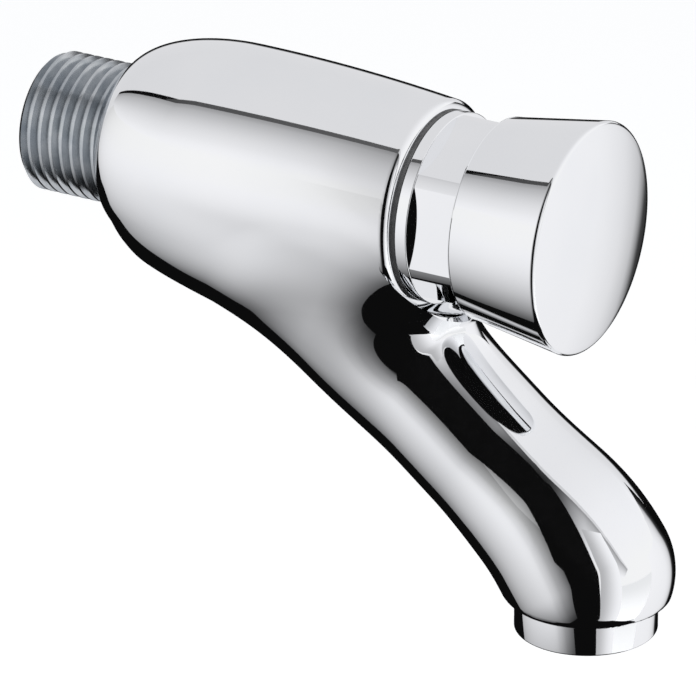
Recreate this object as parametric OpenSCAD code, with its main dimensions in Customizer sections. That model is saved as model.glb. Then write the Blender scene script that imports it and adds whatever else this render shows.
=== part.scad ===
// Push timed tap, millimetres. The inlet, barrel and button share the X axis, which points
// away from the wall. +Z is up. The origin is where the inlet thread meets the body.

/* [Inlet] */
// Major diameter of the G 1/2 inlet thread
thread_d = 20.955; // [20:0.005:22]
// Length of the inlet thread
thread_len = 14.2; // [10:0.2:20]
// Chamfer on the end of the thread
thread_chamfer = 0.8; // [0.4:0.1:1.2]
// Pitch of the inlet thread
thread_pitch = 1.814; // [1.337:0.001:2.309]
// Depth of the inlet thread
thread_depth = 1.1; // [0.8:0.05:1.2]
// Width of the inlet thread's crests
thread_crest = 0.42; // [0.3:0.02:0.5]
// Bore of the inlet nipple
nipple_bore_d = 14; // [12:0.5:14.5]
// Diameter of the nipple's inner end, screwed into the body
neck_d = 18; // [17.5:0.1:18.5]
// Length of the nipple's inner end
neck_len = 7; // [5:0.5:8]
// Thickness of the seal at the nipple's inner end
nipple_seal_t = 1; // [0.6:0.1:1.5]
// Length of the strainer cup
strainer_len = 11; // [8:0.5:13]
// Thickness of the strainer's wall
strainer_wall = 0.8; // [0.6:0.1:1.2]
// Width of the strainer's rim
strainer_rim = 1.2; // [0.8:0.1:1.4]
// Number of slots round the strainer
strainer_slots = 12; // [8:1:14]
// Width of a strainer slot
strainer_slot_w = 1; // [0.6:0.1:1.4]

/* [Barrel] */
// Length of the barrel, from its rear land to its front rim
barrel_len = 51.5; // [50:0.5:58]
// Greatest diameter of the barrel
barrel_d = 34.6; // [33.5:0.2:37]
// Diameter of the barrel at its front rim
barrel_front_d = 30.8; // [30.4:0.2:32]
// Length of the domed rear end
dome_len = 17.3; // [14:0.5:20]
// Flat land left round the inlet thread
rear_land = 0.2; // [0.1:0.05:0.5]
// Rounding of the front rim
rim_round = 0.9; // [0.5:0.1:1.2]

/* [Spout] */
// Distance of the outlet from the rear land
outlet_reach = 76.4; // [72:0.5:85]
// Height of the spout's end below the inlet axis
outlet_drop = 56.2; // [53:0.5:62]
// Distance of the spout's root from the rear land
spout_root_x = 15; // [14:0.2:17]
// Height of the spout's root below the inlet axis
spout_root_drop = 3.1; // [2:0.1:4]
// Radius of the bend in the spout's centreline
spout_bend_r = 43.4; // [36:0.2:50]
// Slope of the spout where it runs into its rounded end, in degrees
spout_end_pitch = 56; // [52:1:62]
// Height of the rounded end's middle above the outlet
spout_end_rise = 4.5; // [4:0.1:5.5]
// Diameter of the spout where it leaves the barrel
spout_root_d = 27.6; // [26.8:0.2:28.4]
// Least diameter of the spout
spout_waist_d = 22.2; // [21:0.1:23]
// Place of the least diameter, as a share of the spout's length
spout_waist_at = 0.62; // [0.55:0.01:0.7]
// Diameter of the spout's rounded end
spout_end_d = 26.1; // [25.5:0.1:26.6]
// Rounding of the spout's lower edge
spout_end_round = 1.2; // [1:0.1:2]
// Reach of the blend between barrel and spout on the underside
root_blend = 10; // [8:0.5:12]
// Reach of the blend in the crotch below the front rim
crotch_blend = 7; // [5:0.5:8]
// Distance over which the blend grows from the rear land
blend_rise = 6.5; // [5:0.5:8]
// Bore of the spout's waterway
spout_bore_d = 13; // [11:0.5:14]

/* [Bonnet] */
// Diameter of the bonnet's thread in the barrel
bonnet_thread_d = 26; // [25.6:0.1:26.4]
// Length of the bonnet's thread
bonnet_thread_len = 11.5; // [10:0.5:13]
// Thickness of the gasket under the bonnet's flange
gasket_t = 0.6; // [0.4:0.1:1]
// Diameter of the bonnet's flange
flange_d = 28.2; // [27.9:0.1:28.4]
// Thickness of the bonnet's flange
flange_t = 1.9; // [1.5:0.1:2.5]
// Width across the six flats
hex_af = 25; // [24.4:0.1:25.4]
// Diameter that the corners of the six flats are turned to
hex_corner_d = 27.8; // [27.2:0.1:27.8]
// Chamfer on the front end of the bonnet
bonnet_chamfer = 0.8; // [0.4:0.1:1]
// Length of the flats that the button covers at rest
hex_cover = 2.2; // [1.5:0.1:4]
// Diameter of the spring well in the bonnet
spring_well_d = 18.6; // [18.2:0.1:19.2]
// Thickness of the web round the spindle
web_t = 9; // [8.4:0.2:10]
// Depth of the hollow behind the web
web_recess = 2; // [1:0.2:3]

/* [Button] */
// Travel of the button
press_travel = 7; // [5:0.5:7]
// Gap that stays between the pressed button and the flange
press_gap = 0.3; // [0.2:0.1:1]
// Diameter of the button's rear rim
button_rear_d = 30.4; // [30.2:0.1:31]
// Diameter of the button's face
button_front_d = 34.3; // [33:0.1:36]
// Length of the button's flared side
button_len = 15.2; // [14:0.2:18]
// Rise of the domed face
face_rise = 1.5; // [0.8:0.1:2]
// Rounding between the button's side and face
button_edge = 0.7; // [0.4:0.1:1]
// Wall of the button's skirt
skirt_wall = 0.9; // [0.8:0.05:0.95]
// Thickness of the button's front wall
face_wall = 3; // [2.5:0.1:4]
// Diameter of the boss inside the button
boss_d = 11; // [10:0.2:12]
// Length of the boss inside the button
boss_len = 6; // [5:0.2:7]
// Depth that the spindle's thread runs into the button's front wall
boss_blind = 0.6; // [0.2:0.1:1]
// Thickness of the lock nut
button_nut_t = 3.2; // [2.8:0.1:3.4]
// Width across the flats of the lock nut
button_nut_af = 10; // [9.5:0.1:11]

/* [Valve] */
// Diameter of the inlet chamber
plenum_d = 22; // [21.4:0.1:22.6]
// Diameter of the bore that takes the seat and the sleeve
chamber_d = 24.4; // [24:0.1:24.8]
// Web between the nipple's socket and the inlet chamber
throat_len = 1.5; // [1:0.1:2.5]
// Bore of the throat
throat_d = 15.2; // [14.8:0.1:16]
// Room that stays behind the pressed valve
valve_room = 1.1; // [0.8:0.1:2]
// Bore of the valve seat
seat_bore_d = 11; // [10:0.2:11.6]
// Width of the raised lip of the seat
seat_lip_w = 1.2; // [0.8:0.1:1.4]
// Height of the raised lip of the seat
seat_lip_h = 1; // [0.6:0.1:1.4]
// Thickness of the seat's flange
seat_t = 3; // [2.6:0.1:3.6]
// Diameter of the valve washer
washer_d = 15; // [14.6:0.1:15.4]
// Thickness of the valve washer
washer_t = 2.5; // [2:0.1:3]
// Thickness of the washer cup's floor
cup_t = 1.2; // [1:0.1:1.6]
// Height of the washer cup's rim
cup_rim_h = 1.2; // [0.8:0.1:1.6]
// Wall of the washer cup's rim
cup_wall = 0.7; // [0.5:0.05:1]
// Thickness of the washer nut
washer_nut_t = 4; // [3.4:0.1:4.4]
// Width across the flats of the washer nut
washer_nut_af = 8; // [7.6:0.1:8.4]

/* [Timing] */
// Bore of the timing sleeve
sleeve_bore_d = 20.4; // [20:0.1:20.8]
// Number of outflow notches in the sleeve
sleeve_notches = 6; // [4:1:8]
// Width of an outflow notch
notch_w = 5; // [3.5:0.1:5.5]
// Depth of an outflow notch
notch_depth = 3.6; // [2.6:0.1:4.4]
// Thickness of the piston
piston_t = 3.6; // [3.4:0.1:4]
// Width of the lip seal's groove in the piston
lip_groove_w = 2.2; // [2:0.1:2.4]
// Depth of the lip seal's groove
lip_groove_depth = 1.6; // [1.3:0.1:2]
// Gap in front of the piston at rest
piston_gap = 1; // [0.6:0.1:1.6]
// Diameter of the bleed pin
bleed_pin_d = 1.2; // [1:0.1:1.4]
// Distance of the bleed pin from the axis
bleed_pin_r = 6.6; // [6.3:0.1:7]
// Depth that the bleed pin is set into the bonnet
bleed_pin_set = 3; // [2:0.2:4]
// Gap between the bleed pin's end and the valve seat
bleed_pin_gap = 2; // [1:0.1:2]

/* [Spindle] */
// Diameter of the spindle in the bonnet
spindle_d = 8; // [7.6:0.1:8.2]
// Diameter of the spindle through the piston
spindle_waist_d = 6; // [5.6:0.1:6.4]
// Diameter of the spindle's threaded front end
spindle_thread_d = 6; // [5.6:0.1:6.4]
// Diameter of the stud that holds the valve washer
stud_d = 5; // [4.6:0.1:5.2]
// Length of the stud behind the washer nut
stud_over = 0.6; // [0.2:0.1:1]
// Thickness of the retaining clip
clip_t = 1; // [0.8:0.1:1.2]
// Outer diameter of the retaining clip
clip_d = 9.6; // [9:0.1:10]
// Depth of the retaining clip's groove
clip_groove = 0.5; // [0.3:0.05:0.7]
// Outer diameter of the guide bush
bush_d = 12; // [11.6:0.1:12.6]
// Length of the guide bush in the web
bush_len = 2.8; // [2.2:0.1:3]
// Diameter of the guide bush's flange
bush_flange_d = 17.8; // [17.4:0.1:18]
// Thickness of the guide bush's flange
bush_flange_t = 1.2; // [1:0.1:1.6]

/* [Spring] */
// Mean diameter of the return spring's coils
spring_d = 16; // [15.8:0.1:16.2]
// Thickness of the spring's wire
spring_wire = 1.3; // [1.1:0.1:1.5]
// Number of coils
spring_turns = 7; // [5:0.5:7.5]
// Gap between an end coil and the next one
end_coil_gap = 0.5; // [0.45:0.05:0.8]

/* [Outlet] */
// Outer diameter of the outlet collar
collar_d = 21; // [20.4:0.1:21.6]
// Height of the outlet collar below the spout
collar_h = 4.9; // [4:0.1:6]
// Rounding of the collar's lower edge
collar_round = 0.5; // [0.3:0.1:0.8]
// Diameter of the collar's thread in the spout
outlet_thread_d = 19; // [18.6:0.1:19.4]
// Length of the collar's thread
outlet_thread_len = 6.7; // [6:0.1:8]
// Thickness of the washer above the collar
outlet_washer_t = 1.5; // [1:0.1:2]
// Bore of the collar
collar_bore_d = 16.4; // [16:0.1:16.6]
// Height of the lip that carries the insert
collar_lip_h = 1.1; // [0.8:0.1:1.6]
// Width of the lip that carries the insert
collar_lip_w = 0.6; // [0.4:0.1:1]
// Thickness of a steel screen
screen_t = 0.3; // [0.2:0.05:0.5]
// Diameter of a hole in a screen
screen_hole_d = 1.5; // [1.2:0.1:1.7]
// Spacing of the holes in a screen
screen_pitch = 2.1; // [2:0.05:2.6]
// Height of the flow straightener
insert_h = 6; // [5:0.1:6.4]
// Wall of the flow straightener
insert_wall = 0.9; // [0.7:0.1:1.2]
// Number of vanes on each side of the hub
insert_vanes = 8; // [6:1:10]
// Diameter of the flow straightener's hub
insert_hub_d = 4; // [3.4:0.1:5]
// Thickness of the flow regulator
regulator_t = 1.8; // [1.4:0.1:2.2]
// Number of ports in the flow regulator
regulator_ports = 8; // [6:1:10]
// Diameter of a regulator port
regulator_port_d = 1.8; // [1.4:0.1:2.2]

/* [Seals] */
// Thickness of the seat's and sleeve's seal rings
static_ring = 1.2; // [1:0.1:1.4]
// Thickness of the spindle's seal rings
spindle_ring = 1.5; // [1.3:0.1:1.6]

/* [Clearances] */
// Radial clearance of a screwed or seated joint
seat_fit = 0.05; // [0.02:0.01:0.1]
// Radial clearance of a running fit
run_fit = 0.05; // [0.03:0.01:0.1]
// Gap between the valve washer and its seat at rest
valve_gap = 0.1; // [0.05:0.05:0.3]

/* [Hidden] */
$fn = 64;
cut = 1;
ring_sides = 64;
ring_step = 1.7;
seam_dip = 0.15;
halvings = 14;
widest_seam = 150;
bend_rings = 13;
edge_rings = 4;
profile_steps = 14;
thread_angle = 55;

// Inlet end
thread_r = thread_d / 2;
land_r = thread_r + rear_land;
socket_len = neck_len + nipple_seal_t;
plenum_x = socket_len + throat_len;

// Valve, from the inlet chamber forwards
cup_x = plenum_x + valve_room + press_travel;
washer_x = cup_x + cup_t;
seat_x = washer_x + washer_t + valve_gap;
seat_step_x = seat_x + seat_lip_h;
sleeve_x = seat_step_x + seat_t;

// Bonnet and piston, from the front rim
bonnet_x = barrel_len - bonnet_thread_len;
flange_x = barrel_len + gasket_t;
hex_x = flange_x + flange_t;
web_x = bonnet_x + web_recess;
well_x = web_x + web_t;
piston_front_x = bonnet_x - piston_gap;
piston_x = piston_front_x - piston_t;

// Button and spring
button_x = hex_x + press_travel + press_gap;
face_x = button_x + button_len;
bonnet_front_x = button_x + hex_cover;
floor_x = face_x - face_wall;
boss_x = floor_x - boss_len;
button_nut_x = boss_x - button_nut_t;
spring_x = well_x + bush_flange_t;
spindle_front_x = floor_x + boss_blind;

// Spout centreline: a line from the root, tangent to a bend that ends in the middle of the
// rounded end
bend_c = [outlet_reach, spout_end_rise - outlet_drop]
    - spout_bend_r * [sin(spout_end_pitch), cos(spout_end_pitch)];
root_to_bend = bend_c - [spout_root_x, -spout_root_drop];
bend_run = norm(root_to_bend);
spout_pitch = atan2(-root_to_bend[1], root_to_bend[0]) - asin(spout_bend_r / bend_run);
slope_len = sqrt(bend_run * bend_run - spout_bend_r * spout_bend_r);
bend_len = spout_bend_r * (spout_end_pitch - spout_pitch) * PI / 180;
spout_len = slope_len + bend_len;
crotch_from = 0.4 * barrel_len;

// Outlet, from the spout's end
outlet_z = -outlet_drop;
collar_z = outlet_z - collar_h;
lip_z = collar_z + collar_lip_h;
insert_z = lip_z + screen_t;
upper_screen_z = insert_z + insert_h;
regulator_z = upper_screen_z + screen_t;
thread_top_z = outlet_z + outlet_thread_len;
outlet_socket_z = thread_top_z + outlet_washer_t;
insert_r = collar_bore_d / 2 - seat_fit;

// Turned shapes on the X axis

// Revolves a closed outline of [radius, x] points
module turned(outline) {
    rotate([0, 90, 0]) rotate_extrude() polygon(outline);
}

module rod(r, x0, x1) {
    translate([x0, 0, 0]) rotate([0, 90, 0]) cylinder(r = r, h = x1 - x0);
}

module tube(ro, ri, x0, x1) {
    difference() {
        rod(ro, x0, x1);
        rod(ri, x0 - cut, x1 + cut);
    }
}

// Six flats, with corners above and below the axis
module hexagon(af, x0, x1) {
    translate([x0, 0, 0]) rotate([0, 90, 0]) cylinder(d = af / cos(30), h = x1 - x0, $fn = 6);
}

module o_ring(r_mid, section, x) {
    translate([x, 0, 0]) rotate([0, 90, 0]) rotate_extrude() translate([r_mid, 0]) circle(d = section);
}

module upright_tube(ro, ri, z0, z1) {
    translate([outlet_reach, 0, z0]) difference() {
        cylinder(r = ro, h = z1 - z0);
        translate([0, 0, -cut]) cylinder(r = ri, h = z1 - z0 + 2 * cut);
    }
}

// Points of an arc in an outline
function arc(centre, r, from, to, steps) =
    [for (i = [0:steps]) let (a = from + (to - from) * i / steps) centre + r * [cos(a), sin(a)]];

function ease(t) = let (u = min(1, max(0, t))) u * u * (3 - 2 * u);

// Body: the barrel is a revolve, and the spout a loft whose root swells into the barrel

function dome_r(x) =
    land_r + (barrel_d / 2 - land_r) * sqrt(max(0, 1 - pow((dome_len - max(0, x)) / dome_len, 2)));

function taper_r(x) =
    barrel_d / 2 - (barrel_d - barrel_front_d) / 2 * pow((x - dome_len) / (barrel_len - dome_len), 2);

function barrel_r(x) = x < dome_len ? dome_r(x) : taper_r(x);

// Distance from a point to the barrel's side, less than zero inside. The side is taken to run
// on in front of the rim, so that the blend in the crotch ends where the rim is faced
function barrel_gap(p) =
    let (h = 0.05)
    let (x = max(h, p[0]))
    let (slope = (barrel_r(x + h) - barrel_r(x - h)) / (2 * h))
    let (side = (norm([p[1], p[2]]) - barrel_r(p[0])) / sqrt(1 + slope * slope))
    max(side, -p[0]);

// Reach of the blend: none at the rear land and above the axis, widest under the barrel, small
// in the crotch
function blend_reach(p) =
    let (widest = root_blend + (crotch_blend - root_blend) * ease(p[0] / crotch_from - 1))
    max(seam_dip, widest * ease(p[0] / blend_rise) * ease(-p[2] / root_blend));

function spout_angle(s) =
    s < slope_len ? spout_pitch
    : spout_pitch + min(1, (s - slope_len) / bend_len) * (spout_end_pitch - spout_pitch);

function spout_centre(s) =
    s < slope_len
    ? [spout_root_x + s * cos(spout_pitch), 0, -spout_root_drop - max(0, s) * sin(spout_pitch)]
    : let (a = spout_angle(s))
      [bend_c[0] + spout_bend_r * sin(a), 0, bend_c[1] + spout_bend_r * cos(a)];

function spout_r(s) =
    let (waist_s = spout_waist_at * spout_len)
    let (end_d = s < waist_s ? spout_root_d : spout_end_d)
    let (end_s = s < waist_s ? 0 : spout_len)
    spout_waist_d / 2 + (end_d - spout_waist_d) / 2 * pow((s - waist_s) / (end_s - waist_s), 2);

// Distance from a point to the spout, less than zero inside. Both of its ends are balls
function spout_gap(p) =
    let (run = (p - spout_centre(0)) * [cos(spout_pitch), 0, -sin(spout_pitch)])
    let (turn = atan2(p[0] - bend_c[0], p[2] - bend_c[1]))
    let (past = (turn - spout_pitch) / (spout_end_pitch - spout_pitch))
    let (s = run < slope_len ? max(0, run) : slope_len + bend_len * min(1, max(0, past)))
    norm(p - spout_centre(s)) - spout_r(s);

// Less than zero inside the spout and its blend. The blend's edge dips under the barrel's
// surface, and no part of the loft goes further from the spout than the blend reaches
function loft_gap(p) =
    let (b = barrel_gap(p))
    let (u = spout_gap(p))
    let (k = blend_reach(p))
    let (blended = min(b, u) - pow(max(k - abs(b - u), 0), 2) / (4 * k))
    max(blended + seam_dip * pow(max(0, u) / k, 2), u - k);

function loft_reach(from, along, low, high, steps) =
    steps == 0 ? low
    : let (mid = (low + high) / 2)
      loft_gap(from + mid * along) < 0 ? loft_reach(from, along, mid, high, steps - 1)
      : loft_reach(from, along, low, mid, steps - 1);

// Distance along a ray to where the blend's reach from the spout ends
function blend_end(from, along, low, high, steps) =
    steps == 0 ? low
    : let (mid = (low + high) / 2)
      let (p = from + mid * along)
      spout_gap(p) < blend_reach(p) ? blend_end(from, along, mid, high, steps - 1)
      : blend_end(from, along, low, mid, steps - 1);

// Direction at an angle from the upper side of a ring whose plane leans by tilt
function ring_ray(turn, tilt) = [cos(turn) * sin(tilt), sin(turn), cos(turn) * cos(tilt)];

// Angle from a ring's upper side to where the blend's edge goes under the barrel's surface
function seam_turn(from, tilt, low, high, steps) =
    steps == 0 ? low
    : let (mid = (low + high) / 2)
      let (ray = ring_ray(mid, tilt))
      let (edge = from + ray * blend_end(from, ray, 0, barrel_d, halvings))
      barrel_gap(edge) + seam_dip < 0 ? seam_turn(from, tilt, mid, high, steps - 1)
      : seam_turn(from, tilt, low, mid, steps - 1);

// Angles of a ring's points, from its seam on one side round below to the other side
function ring_turns(from) = [for (j = [0:ring_sides - 1]) from + (360 - 2 * from) * j / (ring_sides - 1)];

module barrel() {
    rim_x = barrel_len - rim_round;
    rim_r = taper_r(rim_x) - rim_round;
    turned(concat(
        [[0, 0]],
        [for (i = [0:profile_steps])
            let (x = dome_len * (1 - cos(90 * i / profile_steps))) [dome_r(x), x]],
        [for (i = [1:profile_steps])
            let (x = dome_len + (rim_x - dome_len) * i / profile_steps) [taper_r(x), x]],
        arc([rim_r, rim_x], rim_round, 90 / edge_rings, 90, edge_rings - 1),
        [[0, barrel_len]]));
}

module spout() {
    // A ring that is clear of the barrel is whole
    whole = 180 / ring_sides;
    turns = ring_turns(whole);
    // Rings stand upright in the barrel and lean over until they are square to the spout
    slope_from = (ring_step / 2 - spout_root_x) / cos(spout_pitch);
    slope_to = slope_len - ring_step;
    slope_rings = ceil((slope_to - slope_from) / ring_step);
    slope = [for (i = [0:slope_rings - 1])
        let (s = slope_from + (slope_to - slope_from) * i / slope_rings)
        let (c = spout_centre(s))
        let (tilt = spout_pitch * ease((s - slope_from) / (slope_len / 2)))
        let (seam = seam_turn(c, tilt, whole, widest_seam, halvings))
        [for (t = ring_turns(seam))
            c + ring_ray(t, tilt) * loft_reach(c, ring_ray(t, tilt), 0, barrel_d, halvings)]];
    // From there they fan out until they lie flat at the outlet
    bend_from = spout_centre(slope_to);
    bend_to = [outlet_reach, 0, outlet_z + spout_end_round];
    bend = [for (i = [0:bend_rings])
        let (c = bend_from + (bend_to - bend_from) * i / bend_rings)
        let (tilt = spout_pitch + (90 - spout_pitch) * i / bend_rings)
        [for (t = turns)
            c + ring_ray(t, tilt) * loft_reach(c, ring_ray(t, tilt), 0, barrel_d, halvings)]];
    edge = [for (i = [1:edge_rings])
        let (a = 90 * i / edge_rings)
        [for (p = bend[bend_rings])
            let (out = (p - bend_to) / norm(p - bend_to))
            p - spout_end_round * ((1 - cos(a)) * out + [0, 0, sin(a)])]];
    rings = concat(slope, bend, edge);
    last = len(rings) - 1;
    function at(i, j) = i * ring_sides + j % ring_sides;
    sides = [for (i = [0:last - 1], j = [0:ring_sides - 1], half = [0, 1])
        half == 0 ? [at(i, j), at(i, j + 1), at(i + 1, j + 1)]
        : [at(i, j), at(i + 1, j + 1), at(i + 1, j)]];
    start = [[for (j = [ring_sides - 1:-1:0]) at(0, j)]];
    end = [[for (j = [0:ring_sides - 1]) at(last, j)]];
    polyhedron(points = [for (r = rings) each r], faces = concat(start, sides, end));
}

// Waterway from the outflow side of the valve to the outlet
module waterway() {
    bore_r = spout_bore_d / 2;
    start = (chamber_d / 2 + seat_t - spout_root_drop) / sin(spout_pitch);
    corner_z = -spout_root_drop - (outlet_reach - spout_root_x) * tan(spout_pitch);
    run = (outlet_reach - spout_root_x) / cos(spout_pitch);
    translate(spout_centre(start))
        rotate([0, 90 + spout_pitch, 0]) cylinder(r = bore_r, h = run - start);
    translate([outlet_reach, 0, corner_z]) sphere(r = bore_r);
    translate([outlet_reach, 0, outlet_socket_z - cut])
        cylinder(r = bore_r, h = max(0, corner_z - outlet_socket_z) + 2 * cut);
}

module tap_body() {
    color("silver") difference() {
        union() {
            barrel();
            spout();
        }
        // The front rim is faced, which also clears the crotch in front of it
        rod(barrel_front_d / 2, barrel_len, button_x);
        rod(neck_d / 2, -cut, socket_len);
        rod(throat_d / 2, socket_len - cut, plenum_x + cut);
        rod(plenum_d / 2, plenum_x, seat_step_x + cut);
        rod(chamber_d / 2, seat_step_x, bonnet_x + cut);
        rod(bonnet_thread_d / 2, bonnet_x, barrel_len + cut);
        waterway();
        translate([outlet_reach, 0, outlet_z - cut])
            cylinder(d = outlet_thread_d, h = outlet_socket_z - outlet_z + cut);
    }
}

// Inlet

module inlet_nipple() {
    neck_r = neck_d / 2 - seat_fit;
    bore_r = nipple_bore_d / 2;
    rim_r = bore_r + strainer_rim + seat_fit;
    // The thread is drawn as one ring for each turn
    full_x = -thread_len + thread_chamfer;
    rings = floor((thread_len - thread_chamfer - thread_crest) / thread_pitch);
    root_r = thread_r - thread_depth;
    flank = thread_depth * tan(thread_angle / 2);
    grooves = [for (i = [0:rings - 1])
        let (x = full_x + i * thread_pitch)
        each [[thread_r, x], [thread_r, x + thread_crest], [root_r, x + thread_crest + flank],
            [root_r, x + thread_pitch - flank]]];
    color("darkgray") turned(concat([
        [rim_r, -thread_len],
        [thread_r - thread_chamfer, -thread_len]],
        grooves, [
        [thread_r, full_x + rings * thread_pitch],
        [thread_r, 0],
        [neck_r, 0],
        [neck_r, neck_len],
        [bore_r, neck_len],
        [bore_r, -thread_len + strainer_rim],
        [rim_r, -thread_len + strainer_rim]]));
}

module nipple_seal() {
    color("dimgray") tube(neck_d / 2 - seat_fit, throat_d / 2, neck_len, socket_len);
}

// Cup with a rim that sits in the mouth of the nipple and slots along its side
module inlet_strainer() {
    rim_r = nipple_bore_d / 2 + strainer_rim;
    cup_r = nipple_bore_d / 2 - seat_fit;
    inner_r = cup_r - strainer_wall;
    rear_x = -thread_len;
    front_x = rear_x + strainer_len;
    slot_x = rear_x + 2 * strainer_rim;
    slot_len = strainer_len - 3 * strainer_rim - strainer_wall;
    color("gainsboro") difference() {
        union() {
            rod(rim_r, rear_x, rear_x + strainer_rim);
            rod(cup_r, rear_x, front_x);
        }
        rod(inner_r, rear_x - cut, front_x - strainer_wall);
        for (i = [0:strainer_slots - 1])
            rotate([360 * i / strainer_slots, 0, 0])
                translate([slot_x, -strainer_slot_w / 2, inner_r - cut])
                    cube([slot_len, strainer_slot_w, strainer_wall + 2 * cut]);
    }
}

// Valve seat and timing sleeve

// The lip faces the inlet, so the water helps to close the valve
module valve_seat() {
    bore_r = seat_bore_d / 2;
    flange_r = chamber_d / 2 - seat_fit;
    lip_r = bore_r + seat_lip_w;
    groove_r = flange_r - static_ring;
    groove_x0 = seat_step_x + (seat_t - static_ring) / 2 - seat_fit;
    groove_x1 = groove_x0 + static_ring + 2 * seat_fit;
    color("goldenrod") turned([
        [bore_r, seat_x],
        [lip_r, seat_x],
        [lip_r, seat_step_x],
        [flange_r, seat_step_x],
        [flange_r, groove_x0],
        [groove_r, groove_x0],
        [groove_r, groove_x1],
        [flange_r, groove_x1],
        [flange_r, sleeve_x],
        [bore_r, sleeve_x]]);
}

module seat_o_ring() {
    color("black")
        o_ring((chamber_d - static_ring) / 2 - seat_fit, static_ring - seat_fit, seat_step_x + seat_t / 2);
}

module timing_sleeve() {
    outer_r = chamber_d / 2 - seat_fit;
    bore_r = sleeve_bore_d / 2;
    groove_r = outer_r - static_ring;
    groove_x1 = bonnet_x - static_ring;
    groove_x0 = groove_x1 - static_ring - 2 * seat_fit;
    color("white") difference() {
        turned([
            [bore_r, sleeve_x],
            [outer_r, sleeve_x],
            [outer_r, groove_x0],
            [groove_r, groove_x0],
            [groove_r, groove_x1],
            [outer_r, groove_x1],
            [outer_r, bonnet_x],
            [bore_r, bonnet_x]]);
        for (i = [0:sleeve_notches - 1])
            rotate([360 * (i + 0.5) / sleeve_notches, 0, 0])
                translate([sleeve_x - cut, -notch_w / 2, bore_r - cut])
                    cube([notch_depth + cut, notch_w, outer_r - bore_r + 2 * cut]);
    }
}

module sleeve_o_ring() {
    color("black")
        o_ring((chamber_d - static_ring) / 2 - seat_fit, static_ring - seat_fit,
            bonnet_x - 1.5 * static_ring - seat_fit);
}

// Bonnet and what seals and guides the spindle

// The spindle's seal rings share the web behind the guide bush evenly
function spindle_ring_x(i) = web_x + (web_t - bush_len) * (2 * i + 1) / 4;

module bonnet() {
    thread_r = bonnet_thread_d / 2 - seat_fit;
    recess_r = sleeve_bore_d / 2;
    well_r = spring_well_d / 2;
    groove_r = spindle_d / 2 + run_fit + spindle_ring;
    corner_r = hex_corner_d / 2;
    color("silver") difference() {
        union() {
            rod(thread_r, bonnet_x, flange_x);
            rod(flange_d / 2, flange_x, hex_x);
            intersection() {
                hexagon(hex_af, hex_x, bonnet_front_x);
                turned([
                    [0, hex_x],
                    [corner_r, hex_x],
                    [corner_r, bonnet_front_x - bonnet_chamfer],
                    [corner_r - 2 * bonnet_chamfer, bonnet_front_x],
                    [0, bonnet_front_x]]);
            }
        }
        rod(recess_r, bonnet_x - cut, web_x);
        rod(spindle_d / 2 + run_fit, web_x - cut, well_x + cut);
        rod(well_r, well_x, bonnet_front_x + cut);
        rod(bush_d / 2, well_x - bush_len, well_x + cut);
        for (i = [0, 1])
            rod(groove_r, spindle_ring_x(i) - spindle_ring / 2 - seat_fit,
                spindle_ring_x(i) + spindle_ring / 2 + seat_fit);
        translate([0, 0, bleed_pin_r])
            rod(bleed_pin_d / 2, web_x - cut, web_x + bleed_pin_set);
    }
}

module bonnet_gasket() {
    color("dimgray") tube(flange_d / 2, bonnet_thread_d / 2, barrel_len, flange_x);
}

module spindle_o_rings() {
    mid_r = spindle_d / 2 + run_fit + spindle_ring / 2;
    color("black") for (i = [0, 1]) o_ring(mid_r, spindle_ring - seat_fit, spindle_ring_x(i));
}

// The spring presses on the flange and keeps the bush in place
module guide_bush() {
    bore_r = spindle_d / 2 + run_fit;
    outer_r = bush_d / 2 - seat_fit;
    color("ivory") turned([
        [bore_r, well_x - bush_len],
        [outer_r, well_x - bush_len],
        [outer_r, well_x],
        [bush_flange_d / 2, well_x],
        [bush_flange_d / 2, spring_x],
        [bore_r, spring_x]]);
}

// Stays in the piston's bleed hole over the whole travel and keeps it clear of scale
module bleed_pin() {
    rear_x = sleeve_x + bleed_pin_gap;
    pin_r = bleed_pin_d / 2;
    color("lightsteelblue") translate([0, 0, bleed_pin_r]) rod(pin_r, rear_x, web_x + bleed_pin_set);
}

// Moving set: spindle, piston, valve and button

module spindle() {
    spindle_r = spindle_d / 2;
    waist_r = spindle_waist_d / 2;
    stud_r = stud_d / 2;
    groove_r = waist_r - clip_groove;
    stud_x = cup_x - washer_nut_t - stud_over;
    shoulder_x = button_nut_x - (spindle_d - spindle_thread_d) / 2;
    color("lightsteelblue") turned([
        [0, stud_x],
        [stud_r, stud_x],
        [stud_r, washer_x + washer_t],
        [waist_r, washer_x + washer_t],
        [waist_r, piston_x - clip_t],
        [groove_r, piston_x - clip_t],
        [groove_r, piston_x],
        [waist_r, piston_x],
        [waist_r, piston_front_x],
        [spindle_r, piston_front_x],
        [spindle_r, shoulder_x],
        [spindle_thread_d / 2, button_nut_x],
        [spindle_thread_d / 2, spindle_front_x],
        [0, spindle_front_x]]);
}

module piston() {
    land_r = sleeve_bore_d / 2 - 2 * run_fit;
    groove_r = land_r - lip_groove_depth;
    groove_x0 = piston_x + (piston_t - lip_groove_w) / 2;
    groove_x1 = groove_x0 + lip_groove_w;
    bore_r = spindle_waist_d / 2;
    color("white") difference() {
        turned([
            [bore_r, piston_x],
            [land_r, piston_x],
            [land_r, groove_x0],
            [groove_r, groove_x0],
            [groove_r, groove_x1],
            [land_r, groove_x1],
            [land_r, piston_front_x],
            [bore_r, piston_front_x]]);
        translate([0, 0, bleed_pin_r])
            rod(bleed_pin_d / 2 + 2 * run_fit, piston_x - cut, piston_front_x + cut);
    }
}

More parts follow.
